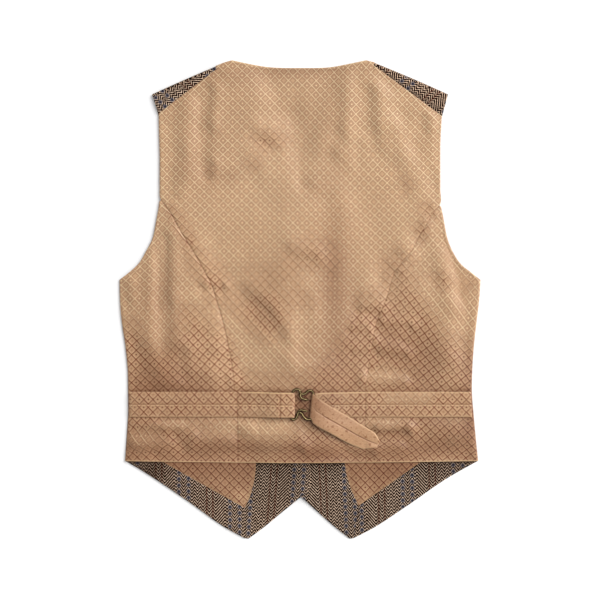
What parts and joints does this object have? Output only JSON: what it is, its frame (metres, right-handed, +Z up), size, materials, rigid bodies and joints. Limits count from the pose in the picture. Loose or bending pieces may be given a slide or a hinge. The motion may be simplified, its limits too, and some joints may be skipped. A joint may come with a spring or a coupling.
{
  "type": "suit waistcoat",
  "caption": "Buttoned suit waistcoat lying face down: satin jacquard back with shaping seams, belt straps and a wire buckle, and herringbone wool fronts ending in points below the hem.",
  "frame": {"origin": "centre of the footprint, on the surface that the garment lies on", "axes": "+Z up, out of the garment's back; +Y toward the neck; +X toward the wearer's right"},
  "size_m": [0.461, 0.611, 0.0163],
  "materials": {
    "satin": "champagne satin jacquard with a small diamond lattice",
    "wool": "brown and cream herringbone with fine paired stripes",
    "brass": "antique brass wire, dulled",
    "horn": "dark polished horn"
  },
  "bodies": {
    "root": {"back_centre": "satin", "back_side_left": "satin", "back_side_right": "satin", "lining_left": "satin", "lining_right": "satin", "strap_left": "satin", "strap_right": "satin", "front_left": "wool", "front_right": "wool", "facing_front_left": "wool", "facing_front_right": "wool", "facing_hem_left": "wool", "facing_hem_right": "wool", "buckle": "brass", "button_1": "horn", "button_2": "horn", "button_3": "horn", "button_4": "horn", "button_5": "horn"}
  },
  "joints": []
}
